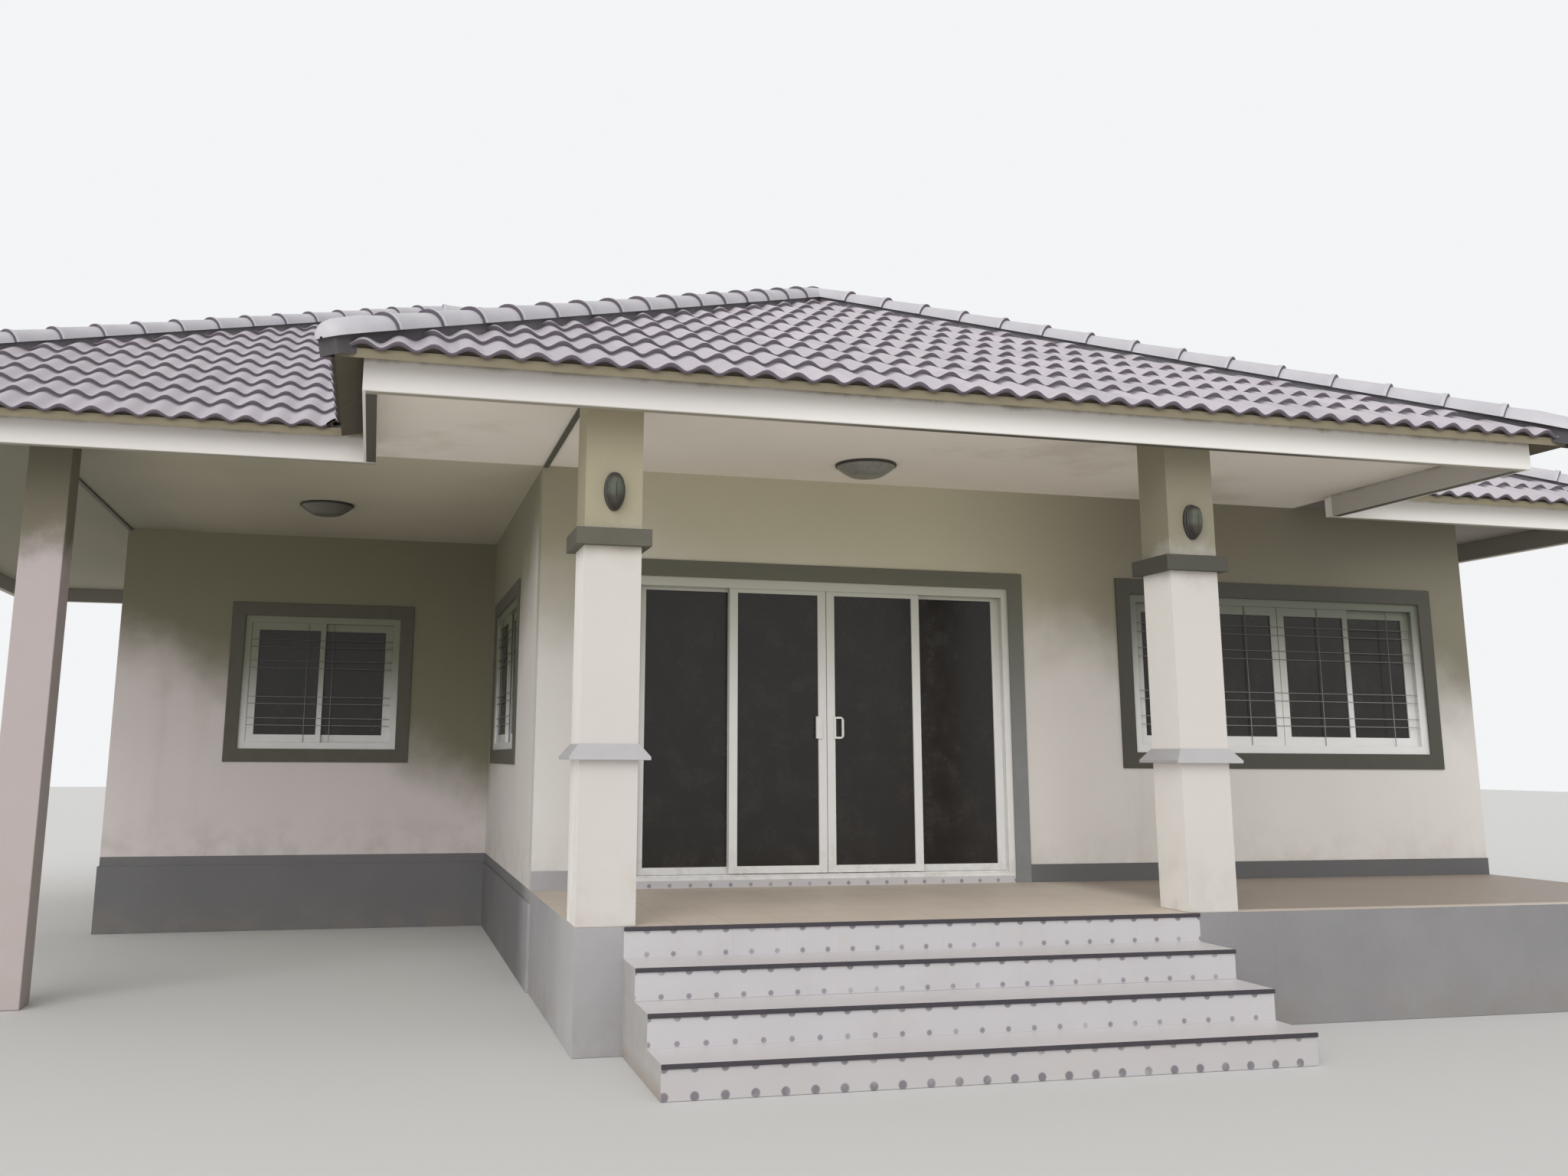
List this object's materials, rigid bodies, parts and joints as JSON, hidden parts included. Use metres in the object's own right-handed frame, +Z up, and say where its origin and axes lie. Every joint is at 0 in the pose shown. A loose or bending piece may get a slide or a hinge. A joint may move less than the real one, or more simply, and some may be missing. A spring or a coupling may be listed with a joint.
{
  "type": "bungalow",
  "caption": "Single-storey house on a raised base, with a porch and steps, a side carport, sliding glass doors, dark window surrounds and intersecting hipped tile roofs.",
  "frame": {"origin": "middle of the whole object's footprint, roof and steps included, on the ground", "axes": "+Z up, the front with the porch and steps faces -Y, +X to the right seen from the front"},
  "size_m": [14.38, 12.039, 5.9299],
  "materials": {
    "plaster": "painted cement render, matt, dusty and rain-streaked",
    "grey_plaster": "grey painted cement render, matt",
    "dark_trim": "dark grey painted render, matt",
    "pale_trim": "pale grey painted moulding, matt",
    "step_tile": "pale grey floor tiles, satin, dusty",
    "step_nosing": "black nosing strip",
    "frame_white": "white powder-coated section",
    "dark_glass": "dark tinted glass",
    "fascia_board": "painted fibre cement board, satin",
    "soffit_board": "painted fibre cement sheet, matt",
    "roof_tile": "pale lavender-grey concrete roof tiles",
    "roof_cap": "half-round concrete ridge and hip caps",
    "lamp_bowl": "opal lamp bowl",
    "lamp_black": "black lamp housing"
  },
  "bodies": {
    "house": {"house_base": "grey_plaster", "base_band": "grey_plaster", "porch_slab": "grey_plaster", "step_1": "step_tile", "step_2": "step_tile", "step_3": "step_tile", "step_nosings": "step_nosing", "column_left": "plaster", "column_right": "plaster", "column_capitals": "dark_trim", "column_mouldings": "pale_trim", "carport_post": "plaster", "front_wall_left": "plaster", "front_wall_over_door": "plaster", "front_wall_right": "plaster", "carport_side_wall": "plaster", "carport_back_wall": "plaster", "left_wall": "plaster", "back_wall": "plaster", "right_wall": "plaster", "door_curb": "step_tile", "door_frame": "frame_white", "door_fixed_leaves": "frame_white", "door_fixed_glass": "dark_glass", "door_surround": "dark_trim", "porch_skirting": "grey_plaster", "front_window": "frame_white", "carport_windows": "frame_white", "plain_windows": "frame_white", "window_glass": "dark_glass", "window_surrounds": "dark_trim", "main_fascia": "fascia_board", "porch_fascia": "fascia_board", "eaves_soffit": "soffit_board", "house_ceiling": "soffit_board", "soffit_strips": "dark_trim", "main_roof": "roof_tile", "porch_roof": "roof_tile", "roof_caps": "roof_cap", "ceiling_lamps": "lamp_bowl", "wall_lamps": "lamp_black"},
    "leaf_left": {"door_leaf_left": "frame_white", "door_glass_left": "dark_glass"},
    "leaf_right": {"door_leaf_right": "frame_white", "door_glass_right": "dark_glass"}
  },
  "joints": [
    {"name": "door_left_slide", "type": "slide", "parent": "house", "child": "leaf_left", "axis": [-1, 0, 0], "range_m": [0, 0.65]},
    {"name": "door_right_slide", "type": "slide", "parent": "house", "child": "leaf_right", "axis": [1, 0, 0], "range_m": [0, 0.65]}
  ]
}
